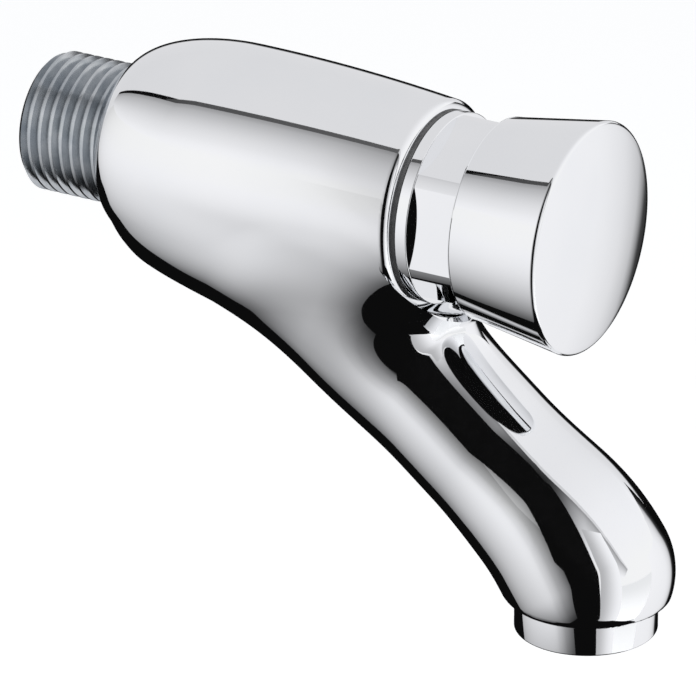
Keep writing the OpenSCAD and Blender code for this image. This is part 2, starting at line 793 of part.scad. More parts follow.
// The lip opens forwards, so that it holds the water in front of the piston
module piston_lip_seal() {
    outer_r = sleeve_bore_d / 2 - run_fit;
    inner_r = sleeve_bore_d / 2 - 2 * run_fit - lip_groove_depth;
    rear_x = piston_x + (piston_t - lip_groove_w) / 2;
    front_x = rear_x + lip_groove_w;
    mid_x = rear_x + lip_groove_w / 2;
    mid_r = (outer_r + inner_r) / 2;
    lip = (outer_r - inner_r) / 4;
    color("black") turned([
        [inner_r, rear_x],
        [outer_r - lip, rear_x],
        [outer_r, front_x],
        [outer_r - lip, front_x],
        [mid_r, mid_x],
        [inner_r + lip, front_x],
        [inner_r, front_x]]);
}

// Open ring that snaps into the spindle's groove
module piston_clip() {
    groove_r = spindle_waist_d / 2 - clip_groove;
    color("slategray") difference() {
        tube(clip_d / 2, groove_r, piston_x - clip_t, piston_x);
        translate([piston_x - clip_t - cut, -groove_r, 0])
            cube([clip_t + 2 * cut, 2 * groove_r, clip_d]);
    }
}

module valve_washer() {
    color("black") tube(washer_d / 2, stud_d / 2, washer_x, washer_x + washer_t);
}

module washer_cup() {
    rim_r = washer_d / 2 + cup_wall;
    color("goldenrod") turned([
        [stud_d / 2, cup_x],
        [rim_r, cup_x],
        [rim_r, washer_x + cup_rim_h],
        [washer_d / 2, washer_x + cup_rim_h],
        [washer_d / 2, washer_x],
        [stud_d / 2, washer_x]]);
}

module washer_nut() {
    color("goldenrod") difference() {
        hexagon(washer_nut_af, cup_x - washer_nut_t, cup_x);
        rod(stud_d / 2, cup_x - washer_nut_t - cut, cup_x + cut);
    }
}

// Hollow flared shell with a gently domed face and a boss for the spindle
module push_button() {
    rear_r = button_rear_d / 2;
    front_r = button_front_d / 2;
    flare = atan2(front_r - rear_r, button_len);
    dome_r = (front_r * front_r + face_rise * face_rise) / (2 * face_rise);
    dome_half = asin((front_r - button_edge) / (dome_r - button_edge));
    dome_x = face_x + face_rise - dome_r;
    edge_c = (dome_r - button_edge) * [sin(dome_half), cos(dome_half)] + [0, dome_x];
    color("silver") difference() {
        turned(concat(
            [[0, button_x], [rear_r, button_x]],
            arc(edge_c, button_edge, -flare, 90 - dome_half, edge_rings),
            arc([0, dome_x], dome_r, 90 - dome_half * (1 - 1 / profile_steps), 90, profile_steps)));
        difference() {
            turned([
                [0, button_x - cut],
                [rear_r - skirt_wall, button_x - cut],
                [rear_r - skirt_wall, button_x],
                [front_r - skirt_wall - face_wall * tan(flare) - button_edge, floor_x],
                [0, floor_x]]);
            rod(boss_d / 2, boss_x, floor_x + cut);
        }
        rod(spindle_thread_d / 2, boss_x - cut, spindle_front_x);
    }
}

module button_nut() {
    color("goldenrod") difference() {
        hexagon(button_nut_af, button_nut_x, boss_x);
        rod(spindle_thread_d / 2, button_nut_x - cut, boss_x + cut);
    }
}

// Helix between the guide bush and the button, with closed end coils
module return_spring() {
    wire_r = spring_wire / 2;
    sides = 8;
    rings_per_turn = 16;
    x0 = spring_x + wire_r + seat_fit;
    x1 = floor_x - wire_r - seat_fit;
    end_rise = spring_wire + end_coil_gap;
    open_rise = x1 - x0 - 2 * end_rise;
    count = round(spring_turns * rings_per_turn);
    // The first and the last turn lie almost flat on their seats
    function rise(t) =
        t < 1 ? end_rise * t
        : t > spring_turns - 1 ? x1 - x0 - end_rise * (spring_turns - t)
        : end_rise + open_rise * (t - 1) / (spring_turns - 2);
    points = [for (i = [0:count], k = [0:sides - 1])
        let (turn = 360 * i / rings_per_turn)
        let (a = 360 * (k + 0.5) / sides)
        let (r = spring_d / 2 + wire_r * cos(a))
        [x0 + rise(i / rings_per_turn) + wire_r * sin(a), r * cos(turn), r * sin(turn)]];
    function at(i, k) = i * sides + k % sides;
    skin = [for (i = [0:count - 1], k = [0:sides - 1], half = [0, 1])
        half == 0 ? [at(i, k), at(i + 1, k + 1), at(i, k + 1)]
        : [at(i, k), at(i + 1, k), at(i + 1, k + 1)]];
    start = [for (k = [1:sides - 2]) [at(0, 0), at(0, k), at(0, k + 1)]];
    end = [for (k = [1:sides - 2]) [at(count, 0), at(count, k + 1), at(count, k)]];
    echo(least_coil_gap = min([for (t = [0:1 / rings_per_turn:spring_turns - 1])
        rise(t + 1) - rise(t) - spring_wire]));
    color("steelblue") polyhedron(points = points, faces = concat(start, skin, end));
}

// Outlet

// Collar that screws into the spout and carries the flow straightener on its lip
module aerator_housing() {
    outer_r = collar_d / 2;
    bore_r = collar_bore_d / 2;
    screw_r = outlet_thread_d / 2 - seat_fit;
    color("silver") translate([outlet_reach, 0, 0]) rotate_extrude() polygon(concat(
        [[bore_r - collar_lip_w, collar_z]],
        arc([outer_r - collar_round, collar_z + collar_round], collar_round, -90, 0, edge_rings),
        [[outer_r, outlet_z],
        [screw_r, outlet_z],
        [screw_r, thread_top_z],
        [bore_r, thread_top_z],
        [bore_r, lip_z],
        [bore_r - collar_lip_w, lip_z]]));
}

module aerator_insert() {
    color("ivory") {
        upright_tube(insert_r, insert_r - insert_wall, insert_z, upper_screen_z);
        translate([outlet_reach, 0, insert_z]) {
            cylinder(d = insert_hub_d, h = insert_h);
            for (i = [0:insert_vanes - 1])
                rotate([0, 0, 360 * i / insert_vanes])
                    translate([0, -insert_wall / 2, 0])
                        cube([insert_r - insert_wall / 2, insert_wall, insert_h]);
        }
    }
}

// Holes on a hexagonal grid, as many as fit inside the rim
module screen(z) {
    rows = ceil(insert_r / screen_pitch);
    row_h = screen_pitch * sin(60);
    translate([outlet_reach, 0, z]) difference() {
        cylinder(r = insert_r, h = screen_t);
        for (row = [-rows:rows], col = [-rows:rows]) {
            x = (col + (row % 2 == 0 ? 0 : 0.5)) * screen_pitch;
            y = row * row_h;
            if (norm([x, y]) + screen_hole_d < insert_r)
                translate([x, y, -cut]) cylinder(d = screen_hole_d, h = screen_t + 2 * cut);
        }
    }
}

module aerator_screens() {
    color("gray") for (z = [lip_z, upper_screen_z]) screen(z);
}

module flow_regulator() {
    port_ring_r = insert_r / 2;
    color("lightgray") translate([outlet_reach, 0, regulator_z]) difference() {
        cylinder(r = insert_r, h = regulator_t);
        for (i = [0:regulator_ports - 1])
            rotate([0, 0, 360 * i / regulator_ports])
                translate([port_ring_r, 0, -cut])
                    cylinder(d = regulator_port_d, h = regulator_t + 2 * cut);
    }
}

module aerator_washer() {
    color("black") upright_tube(outlet_thread_d / 2 - seat_fit, spout_bore_d / 2,
        thread_top_z, outlet_socket_z);
}

tap_body();
inlet_nipple();
nipple_seal();
inlet_strainer();
valve_seat();
seat_o_ring();
timing_sleeve();
sleeve_o_ring();
bonnet();
bonnet_gasket();
spindle_o_rings();
guide_bush();
bleed_pin();
spindle();
piston();
piston_lip_seal();
piston_clip();
valve_washer();
washer_cup();
washer_nut();
push_button();
button_nut();
return_spring();
aerator_housing();
aerator_insert();
aerator_screens();
flow_regulator();
aerator_washer();
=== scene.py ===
import math

import bpy
import numpy as np
from mathutils import Matrix, Vector


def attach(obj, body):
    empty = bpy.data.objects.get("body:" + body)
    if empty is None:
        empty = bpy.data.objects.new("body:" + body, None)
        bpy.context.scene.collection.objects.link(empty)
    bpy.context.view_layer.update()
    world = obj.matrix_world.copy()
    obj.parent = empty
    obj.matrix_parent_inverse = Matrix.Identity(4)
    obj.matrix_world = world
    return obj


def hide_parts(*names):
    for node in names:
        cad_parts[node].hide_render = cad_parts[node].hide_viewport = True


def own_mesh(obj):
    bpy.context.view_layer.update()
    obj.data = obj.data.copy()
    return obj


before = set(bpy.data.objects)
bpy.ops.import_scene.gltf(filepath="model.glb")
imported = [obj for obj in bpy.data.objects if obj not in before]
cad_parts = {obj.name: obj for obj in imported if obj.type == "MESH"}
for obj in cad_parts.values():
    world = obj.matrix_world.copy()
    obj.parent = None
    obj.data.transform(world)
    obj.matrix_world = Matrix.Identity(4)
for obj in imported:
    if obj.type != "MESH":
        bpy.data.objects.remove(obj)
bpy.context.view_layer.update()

# The studio: a long lens looks down on the tap from its front left side, as in the photograph.
# The floor is plain and pale and lies well below the tap, which hangs on a wall when in use.
# Floor and world are white to the camera and in the chrome, and softer as a light.
mm = 0.001
view_turn = math.radians(30.37)
view_rise = math.radians(23.62)
view_distance = 1202 * mm
tap_middle = Vector((38, 0, -22))
aim_left, aim_down = 1.533, 3.175
view_right = Vector((math.cos(view_turn), math.sin(view_turn), 0))
view_back = Vector((math.sin(view_turn) * math.cos(view_rise),
                    -math.cos(view_turn) * math.cos(view_rise),
                    math.sin(view_rise)))
view_up = view_back.cross(view_right)
view_aim = (tap_middle - aim_left * view_right - aim_down * view_up) * mm
lens = bpy.data.cameras.new("studio_camera")
lens.sensor_width = 36
lens.lens = 425.9
lens.clip_start = 0.05
camera = bpy.data.objects.new("studio_camera", lens)
bpy.context.scene.collection.objects.link(camera)
stand = Matrix((view_right, view_up, view_back)).transposed().to_4x4()
stand.translation = view_aim + view_distance * view_back
camera.matrix_world = stand
bpy.context.scene.camera = camera
bpy.context.scene.view_settings.view_transform = "Standard"


def seen_white(tree, shown, lit):
    """Mixes two shaders: shown for camera, mirror and glass rays, lit for all others."""
    path = tree.nodes.new("ShaderNodeLightPath")
    either = tree.nodes.new("ShaderNodeMath")
    either.operation = "MAXIMUM"
    tree.links.new(path.outputs["Is Camera Ray"], either.inputs[0])
    tree.links.new(path.outputs["Is Glossy Ray"], either.inputs[1])
    through = tree.nodes.new("ShaderNodeMath")
    through.operation = "MAXIMUM"
    tree.links.new(either.outputs[0], through.inputs[0])
    tree.links.new(path.outputs["Is Transmission Ray"], through.inputs[1])
    mix = tree.nodes.new("ShaderNodeMixShader")
    tree.links.new(through.outputs[0], mix.inputs["Fac"])
    tree.links.new(lit.outputs[0], mix.inputs[1])
    tree.links.new(shown.outputs[0], mix.inputs[2])
    return mix


surroundings = bpy.data.worlds.new("surroundings")
bpy.context.scene.world = surroundings
surroundings.use_nodes = True
sky = surroundings.node_tree
sky.nodes.clear()
sky_shown = sky.nodes.new("ShaderNodeBackground")
sky_shown.inputs["Color"].default_value = (1, 1, 1, 1)
sky_shown.inputs["Strength"].default_value = 1
sky_lit = sky.nodes.new("ShaderNodeBackground")
sky_lit.inputs["Color"].default_value = (0.95, 0.97, 1, 1)
sky_lit.inputs["Strength"].default_value = 0.45
sky_out = sky.nodes.new("ShaderNodeOutputWorld")
sky.links.new(seen_white(sky, sky_shown, sky_lit).outputs[0], sky_out.inputs["Surface"])

floor_width, floor_z = 30, -0.62
bpy.ops.object.select_all(action="DESELECT")
bpy.ops.mesh.primitive_plane_add(size=floor_width, location=(0, 0, floor_z))
floor = bpy.context.object
floor.name = "floor"
floor_paint = bpy.data.materials.new("floor_paint")
floor_paint.use_nodes = True
paint = floor_paint.node_tree
paint.nodes.clear()
paint_shown = paint.nodes.new("ShaderNodeEmission")
paint_shown.inputs["Strength"].default_value = 0.55
paint_matt = paint.nodes.new("ShaderNodeBsdfDiffuse")
paint_matt.inputs["Color"].default_value = (0.8, 0.8, 0.8, 1)
paint_both = paint.nodes.new("ShaderNodeAddShader")
paint.links.new(paint_shown.outputs[0], paint_both.inputs[0])
paint.links.new(paint_matt.outputs[0], paint_both.inputs[1])
paint_out = paint.nodes.new("ShaderNodeOutputMaterial")
paint.links.new(seen_white(paint, paint_both, paint_matt).outputs[0], paint_out.inputs["Surface"])
floor.data.materials.append(floor_paint)

lamp = bpy.data.lights.new("soft_box", "AREA")
lamp.shape = "RECTANGLE"
lamp.size = 1.2
lamp.size_y = 1.2
lamp.energy = 14
soft_box = bpy.data.objects.new("soft_box", lamp)
soft_box.location = (0.1, -0.2, 1.1)
soft_box.visible_glossy = False
bpy.context.scene.collection.objects.link(soft_box)

white = ((0, 1), (1, 1))
black = ((0, 0.004), (1, 0.004))
cards_aim = Vector((0.045, 0, -0.02))
cool_tint = 1.02


def card(name, turn, rise, away, width, height, shades, sides=white, roll=0):
    """A flag or reflector that only the chrome sees. It faces the tap from a turn and a rise in degrees,
    and away, width and height are in metres. Its shades, as (place, brightness), run from its lower to its
    upper edge, and its sides dim them from one side to the other."""
    bpy.ops.object.select_all(action="DESELECT")
    bpy.ops.mesh.primitive_plane_add(size=1)
    made = bpy.context.object
    made.name = name
    turn, rise = math.radians(turn), math.radians(rise)
    out = Vector((math.cos(rise) * math.cos(turn), math.cos(rise) * math.sin(turn), math.sin(rise)))
    middle = cards_aim + away * out
    flat = out.to_track_quat("Z", "Y") @ Matrix.Rotation(math.radians(roll), 4, "Z").to_quaternion()
    made.matrix_world = (Matrix.Translation(middle) @ flat.to_matrix().to_4x4()
                         @ Matrix.Diagonal((width, height, 1, 1)))
    made.visible_camera = False
    made.visible_diffuse = False
    made.visible_shadow = False
    cloth = bpy.data.materials.new(name)
    cloth.use_nodes = True
    tree = cloth.node_tree
    tree.nodes.clear()
    glow = tree.nodes.new("ShaderNodeEmission")
    place = tree.nodes.new("ShaderNodeTexCoord")
    across = tree.nodes.new("ShaderNodeSeparateXYZ")
    both = tree.nodes.new("ShaderNodeVectorMath")
    both.operation = "MULTIPLY"
    tree.links.new(place.outputs["UV"], across.inputs[0])
    for i, (way, stops, tint) in enumerate((("Y", shades, cool_tint), ("X", sides, 1))):
        fade = tree.nodes.new("ShaderNodeValToRGB")
        fade.color_ramp.interpolation = "B_SPLINE" if len(stops) > 3 else "EASE"
        while len(fade.color_ramp.elements) < len(stops):
            fade.color_ramp.elements.new(0.5)
        for stop, (spot, level) in zip(fade.color_ramp.elements, stops):
            stop.position = spot
            stop.color = (level, level, level * tint, 1)
        tree.links.new(across.outputs[way], fade.inputs["Fac"])
        tree.links.new(fade.outputs["Color"], both.inputs[i])
    tree.links.new(both.outputs[0], glow.inputs["Color"])
    end = tree.nodes.new("ShaderNodeOutputMaterial")
    tree.links.new(glow.outputs[0], end.inputs["Surface"])
    made.data.materials.append(cloth)


# Flags: the dark band down the spout, the dark underside and the dark outlines.
flag_edge = ((0, 0.004), (0.93, 0.004), (1, 0.3))
card("flag_behind_camera", -62, 6, 0.44, 0.279, 1.27, black, roll=5)
card("flag_beside_camera", -80, 21, 0.5, 0.11, 0.36, black)
card("flag_below", -90, -89.9, 0.56, 1.0, 1.26, black)
card("flag_behind", 125, -35, 0.45, 1.0, 0.7, flag_edge)

# The button's face: pale, with a thin dark edge.
face_shades = ((0, 0.95), (1, 1))
face_sides = ((0, 1), (0.5, 0.97), (0.66, 0.85), (0.76, 0.62), (0.8, 0.3), (0.83, 0.004))
card("fade_behind", 55, -24, 0.5, 0.55, 0.7, face_shades, face_sides)

# Lower reflectors: the flank, which fades into the dark band, and the spout's right side.
flank_shades = ((0, 0.06), (0.15, 0.3), (0.32, 0.6), (0.52, 0.92), (0.72, 1))
flank_sides = ((0, 0.65), (0.29, 0.97), (0.57, 1), (0.615, 0.98), (0.648, 0.86), (0.723, 0.44),
               (0.86, 0.1), (0.9, 0.004))
right_shades = ((0, 1), (1, 0.5))
card("reflector_left", -132, -20, 0.45, 1.6, 0.8, flank_shades, flank_sides)
card("reflector_right", -30, -5, 0.56, 1.0, 0.26, right_shades, roll=90)

# Upper reflectors: the barrel's side and top. The gaps between them and the ceiling draw the thin
# dark line along the barrel's shoulder and round its back.
gap_sides = ((0, 0.01), (0.5, 0.01), (0.53, 0.76), (1, 0.8))
top_shades = ((0, 1), (0.15, 1), (0.3, 0.99), (0.45, 0.9), (0.67, 0.75), (0.9, 0.48), (1, 0.34))
top_sides = ((0, 1), (0.439, 1), (0.453, 0.95), (0.462, 0.86), (0.49, 0.5), (0.52, 0.08),
             (0.537, 0.01), (0.555, 0.01), (0.578, 0.5), (0.605, 1))
back_shades = ((0, 1), (0.03, 0.985), (0.25, 0.9), (0.55, 0.75), (0.87, 0.48), (1, 0.34))
ceiling_shades = ((0, 1), (0.35, 1), (0.5, 0.76), (1, 0.76))
wall_sides = ((0, 1), (0.3, 0.78), (1, 0.76))
card("gap_overhead", -90, 71, 0.69, 5, 0.055, white, gap_sides)
card("reflector_top_left", -90, 42, 0.6, 5, 0.611, top_shades, top_sides)
card("gap_at_the_back", -113.2, 58.2, 0.783, 5, 0.055, black)
card("reflector_back_left", -113.2, 39.7, 0.723, 5, 0.432, back_shades)
card("ceiling", 0, 89.9, 0.9, 6, 6, ceiling_shades)
card("wall_behind", 120, 4, 1.7, 4.2, 1.5, white, wall_sides)

# The tap body: one brass casting, a round barrel that flows into a sloping spout, ground smooth,
# polished and chromed. The front is bored for the valve and faced at the rim, and the outlet is
# faced and bored for the collar.
barrel_len = 51.5
barrel_r = 17.29
front_r = 15.4
dome_len = 17.3
land_r = 10.6775
rim_round = 1.35
root = (9.349, 4.0)
outlet = (76.4, -56.2)
end_round = 0.8
root_r, waist_r, end_r = 11.0, 11.127, 12.72
root_oval = 1.25
bend_len = 12.686
straight_len = 75.069
spout_pitch = math.radians(38.577)
end_pitch = math.radians(55.22)
spout_len = straight_len + bend_len
web_inset = 1.2
waist_s = 0.736 * spout_len
oval_from, oval_run = 6, 54
tiny = 1e-6


def ease(t):
    """A smooth step from 0 to 1."""
    t = np.clip(t, 0, 1)
    return t * t * t * (t * (6 * t - 15) + 10)


def barrel_side(x):
    """The barrel's radius: a rounded back, then a slow taper to the front."""
    back = np.clip((dome_len - x) / dome_len, 0, 1)
    run = (x - dome_len) / (barrel_len - dome_len)
    return np.where(x < dome_len, land_r + (barrel_r - land_r) * np.sqrt(1 - back * back),
                    barrel_r - (barrel_r - front_r) * run * run)


def barrel_gap(x, rho):
    """How far points lie outside the barrel's skin."""
    back = np.clip((dome_len - x) / dome_len, 0, None)
    side = np.clip((rho - land_r) / (barrel_r - land_r), 0, None)
    reach = np.maximum(np.hypot(back, side), tiny)
    steep = np.hypot(back / dome_len, side / (barrel_r - land_r)) / reach
    slope = 2 * (barrel_r - front_r) * (x - dome_len) / (barrel_len - dome_len) ** 2
    return np.where(x < dome_len, (reach - 1) / np.maximum(steep, tiny),
                    (rho - barrel_side(x)) / np.hypot(1, slope))


line_points = 1500
line_s = np.linspace(0, spout_len, line_points)
line_turn = np.clip((line_s - straight_len) / bend_len, 0, 1)
line_turn = spout_pitch + (end_pitch - spout_pitch) * line_turn ** 2 * (3 - 2 * line_turn)
line_step = line_s[1]
step_turn = (line_turn[1:] + line_turn[:-1]) / 2
line_x = root[0] + line_step * np.concatenate(([0], np.cumsum(np.cos(step_turn))))
line_z = root[1] - line_step * np.concatenate(([0], np.cumsum(np.sin(step_turn))))


def spout_size(s):
    """Half height and half width of the spout, which is oval at its root and round from its waist on."""
    swell = np.clip((s - waist_s) / (spout_len - waist_s), 0, 1)
    high = waist_r + np.where(s < waist_s, (root_r - waist_r) * ((waist_s - s) / waist_s) ** 2,
                              (end_r - waist_r) * swell ** 2 * (3 - 2 * swell))
    return high, high * (1 + (root_oval - 1) * (1 - ease((s - oval_from) / oval_run)))


def oval_gap(across, high, half_width, half_height):
    """How far points lie outside an oval."""
    share = np.hypot(across / half_width, high / half_height)
    steep = np.hypot(across / half_width ** 2, high / half_height ** 2)
    return (share - 1) * share / np.maximum(steep, tiny)


def spout_gap(x, y, z):
    """How far points lie outside the spout, measured square to its bending centre line. The nearest
    place on that line is searched in coarse steps and then refined."""
    coarse, rounds, probe, per_probe, least_curve = 15, 4, 0.1, 10, 0.3
    near = np.zeros(len(x), int)
    best = np.full(len(x), np.inf)
    for i in range(0, len(line_s), coarse):
        off = (x - line_x[i]) ** 2 + (z - line_z[i]) ** 2
        closer = off < best
        best[closer] = off[closer]
        near[closer] = i
    s = line_s[near]
    for _ in range(rounds):
        turn = np.interp(s, line_s, line_turn)
        dx = x - np.interp(s, line_s, line_x)
        dz = z - np.interp(s, line_s, line_z)
        ahead = dx * np.cos(turn) - dz * np.sin(turn)
        bend = np.interp(s + probe, line_s, line_turn) - turn
        curve = 1 + per_probe * bend * (dx * np.sin(turn) + dz * np.cos(turn))
        s = np.clip(s + ahead / np.maximum(curve, least_curve), 0, line_s[-1])
    dx = x - np.interp(s, line_s, line_x)
    dz = z - np.interp(s, line_s, line_z)
    high, wide = spout_size(s)
    return oval_gap(np.abs(y), np.hypot(dx, dz), wide, high)


neck_from, neck_to = 38, 56
neck_lean, neck_z, neck_soft = 4, -16, 8
neck_thin, neck_fall = 13.5, 5


def web_gap(x, y, z):
    """How far points lie outside the web, whose flat flanks run straight from the barrel's sides to the
    spout's. It thins out towards the neck below the front rim."""
    centre = np.where(x < root[0], root[1] - (x - root[0]) * math.tan(spout_pitch),
                      np.interp(x, line_x, line_z))
    high, wide = spout_size(np.interp(x, line_x, line_s))
    high = high / math.cos(spout_pitch) - web_inset
    wide = wide - web_inset
    top = barrel_side(x) - web_inset
    across = np.abs(y)
    fall = np.maximum(top * top - wide * wide, 1e-3)
    room = top * top * centre * centre - (centre * centre - high * high + wide * wide) * fall
    lean = fall / np.minimum(top * centre - np.sqrt(np.maximum(room, 0)), -tiny)
    lean = np.clip(np.where((room > 0) & (centre < 0), lean, -1), -1, 0)
    flat = np.sqrt(1 - lean * lean)
    span = np.hypot(wide * flat, high * lean)
    low_end = (high * high * flat * lean - wide * wide * flat * lean) / span + centre * flat
    along = z * flat - across * lean
    on_flank = across * flat + z * lean - top
    on_spout = oval_gap(across, z - centre, wide, high)
    gap = np.where(along > 0, np.hypot(across, z) - top, np.where(along < low_end, on_spout, on_flank))
    ahead = x - neck_lean * np.tanh((z - neck_z) / neck_soft)
    thin = np.clip((ahead - neck_from) / (neck_to - neck_from), 0, 1)
    return gap + neck_thin * (1 - np.sqrt(1 - thin * thin)) + neck_fall * np.clip(ahead - neck_to, 0, None)


least_hollow = 0.3


def run_in(a, b, width):
    """Joins two forms, with a hollow between them that is as wide as width."""
    width = np.maximum(least_hollow, width)
    return np.minimum(a, b) - np.clip(1 - np.abs(a - b) / width, 0, None) ** 3 * width / 6


rise_from, rise_run = 18, 18
hollow_width, hollow_loss = 20.4, 6.9
hollow_start, hollow_from, hollow_run = 4.75, 14, 26
hollow_top, hollow_rise, hollow_fall = 7, 4, 26
web_width, web_start = 8, 8
web_rise, web_fall = 5, 18


def body_gap(p):
    """How far points lie outside the casting, whose forms run into each other. The hollow between barrel
    and spout narrows towards the front and fades out towards the top, and so does the web's."""
    x, y, z = p.T
    rise = ease((x - rise_from) / rise_run)
    hollow = (hollow_width - hollow_loss * ease((x - hollow_from) / hollow_run)) * ease(x / hollow_start)
    fall = np.clip((hollow_top + hollow_rise * rise - z) / hollow_fall, 0, 1)
    side = run_in(barrel_gap(x, np.hypot(y, z)), spout_gap(x, y, z), hollow * fall * fall * (3 - 2 * fall))
    web_hollow = web_width * ease(x / web_start) * ease((web_rise * rise - z) / web_fall)
    side = run_in(side, web_gap(x, y, z), web_hollow) + end_round
    below = outlet[1] - z + end_round
    corner = np.hypot(np.maximum(side, 0), np.maximum(below, 0))
    return np.minimum(np.maximum(side, below), 0) + corner - end_round


def turned(name, outline, centre=(0, 0, 0), axis=(1, 0, 0), steps=128):
    """A turned piece: a ring of (along, radius) points in mm, drawn by extrusion and spun."""
    bpy.ops.object.select_all(action="DESELECT")
    along = Vector(axis)
    out = Vector((0, 0, 1)) if axis[2] == 0 else Vector((1, 0, 0))
    places = [(Vector(centre) + a * along + r * out) * mm for a, r in outline]
    bpy.ops.mesh.primitive_plane_add(size=mm, location=places[0])
    piece = bpy.context.object
    piece.name = name
    piece.data.name = name
    bpy.ops.object.mode_set(mode="EDIT")
    bpy.ops.mesh.merge(type="CENTER")
    on_axis = outline[0][1] == 0 and outline[-1][1] == 0
    for here, there in zip(places, places[1:] + ([] if on_axis else places[:1])):
        bpy.ops.mesh.extrude_vertices_move(TRANSFORM_OT_translate={"value": there - here})
    bpy.ops.mesh.select_all(action="SELECT")
    bpy.ops.mesh.remove_doubles(threshold=1e-7)
    bpy.ops.mesh.select_all(action="SELECT")
    bpy.ops.mesh.spin(steps=steps, angle=math.tau, center=Vector(centre) * mm, axis=axis)
    bpy.ops.mesh.select_all(action="SELECT")
    bpy.ops.mesh.remove_doubles(threshold=2e-7)
    bpy.ops.mesh.dissolve_degenerate(threshold=1e-8)
    bpy.ops.mesh.select_all(action="SELECT")
    bpy.ops.mesh.normals_make_consistent(inside=False)
    bpy.ops.object.mode_set(mode="OBJECT")
    bpy.ops.object.transform_apply(location=True, rotation=True, scale=True)
    return piece


def rounded(corners, steps=5):
    """Corner points (along, radius, fillet) of a closed outline, with each fillet drawn as an arc."""
    outline = []
    for i, (a, r, fillet) in enumerate(corners):
        here = Vector((a, r))
        if not fillet:
            outline.append((a, r))
            continue
        before = (Vector(corners[i - 1][:2]) - here).normalized()
        after = (Vector(corners[(i + 1) % len(corners)][:2]) - here).normalized()
        half = before.angle(after) / 2
        middle = here + (before + after).normalized() * (fillet / math.sin(half))
        start = here + before * (fillet / math.tan(half)) - middle
        end = here + after * (fillet / math.tan(half)) - middle
        for k in range(steps + 1):
            arm = start.normalized().slerp(end.normalized(), k / steps)
            outline.append(tuple(middle + fillet * arm))
    return outline


def pick(*pieces):
    """Selects these pieces alone and makes the first one active."""
    bpy.ops.object.select_all(action="DESELECT")
    for piece in pieces:
        piece.select_set(True)
    bpy.context.view_layer.objects.active = pieces[0]


def cut(piece, tool, operation="DIFFERENCE"):
    """Cuts a piece with a tool, or joins or trims it, and puts the tool away."""
    pick(piece)
    work = piece.modifiers.new("cut", "BOOLEAN")
    work.operation = operation
    work.object = tool
    work.solver = "EXACT"
    bpy.ops.object.modifier_apply(modifier=work.name)
    bpy.data.objects.remove(tool, do_unlink=True)


# A rough blank of turned, round and tubular forms is skinned over and then ground down to shape.
blank_front = 56
root_ball_r = 12
tube_r = 11.4
tubes = ((72, 1), (44, 1.22))
bend_x, bend_z, bend_ball_r = 70, -44.5, 11.5
end_x, end_z, end_tube_r, end_tube_len = 76.3, -51.1, 12.2, 10
skin_size = 0.6
held_x, held_r = 55.2, 15.6
back_steps = [math.pi / 2 * k / 24 for k in range(1, 25)]
side_steps = [dome_len + (blank_front - dome_len) * k / 12 for k in range(1, 13)]
back_curve = [(dome_len * (1 - math.cos(t)), land_r + (barrel_r - land_r) * math.sin(t)) for t in back_steps]
side_curve = [(x, float(barrel_side(x))) for x in side_steps]
body = turned("body", [(0, 0), (0, land_r)] + back_curve + side_curve + [(blank_front, 0)])
blanks = [body]
bpy.ops.mesh.primitive_uv_sphere_add(segments=48, ring_count=24, radius=root_ball_r * mm,
                                     location=(root[0] * mm, 0, root[1] * mm))
blanks.append(bpy.context.object)
for far, wide in tubes:
    bpy.ops.mesh.primitive_cylinder_add(vertices=48, radius=tube_r * mm, depth=far * mm, scale=(1, wide, 1),
                                        rotation=(0, math.pi / 2 + spout_pitch, 0),
                                        location=((root[0] + far / 2 * math.cos(spout_pitch)) * mm, 0,
                                                  (root[1] - far / 2 * math.sin(spout_pitch)) * mm))
    blanks.append(bpy.context.object)
bpy.ops.mesh.primitive_uv_sphere_add(segments=48, ring_count=24, radius=bend_ball_r * mm,
                                     location=(bend_x * mm, 0, bend_z * mm))
blanks.append(bpy.context.object)
bpy.ops.mesh.primitive_cylinder_add(vertices=64, radius=end_tube_r * mm, depth=end_tube_len * mm,
                                    location=(end_x * mm, 0, end_z * mm))
blanks.append(bpy.context.object)
pick(*blanks)
bpy.ops.object.join()
skin = body.modifiers.new("skin", "REMESH")
skin.mode = "VOXEL"
skin.voxel_size = skin_size * mm
bpy.ops.object.modifier_apply(modifier=skin.name)


def ground_down(piece, gap, rounds=5):
    """Moves a piece's points onto the surface where gap is nought, straight along its slope. The blank's
    front end, which is cut off later, stays."""
    reach, least_slope, most = 0.01, 0.2, 2
    count = len(piece.data.vertices)
    places = np.empty(count * 3)
    piece.data.vertices.foreach_get("co", places)
    places = places.reshape(count, 3) / mm
    held = (places[:, 0] > held_x) & (np.hypot(places[:, 1], places[:, 2]) < held_r)
    for _ in range(rounds):
        off = gap(places)
        slope = np.stack([gap(places + reach * step) - gap(places - reach * step) for step in np.eye(3)], 1)
        slope /= 2 * reach
        move = slope * (off / np.maximum((slope * slope).sum(1), least_slope))[:, None]
        places[~held] -= np.clip(move, -most, most)[~held]
    piece.data.vertices.foreach_set("co", (places * mm).ravel())
    piece.data.update()


ground_down(body, body_gap)
for _ in range(3):
    bpy.ops.object.mode_set(mode="EDIT")
    bpy.ops.mesh.select_all(action="SELECT")
    bpy.ops.mesh.vertices_smooth(factor=0.5, repeat=4)
    bpy.ops.object.mode_set(mode="OBJECT")
    ground_down(body, body_gap, 3)

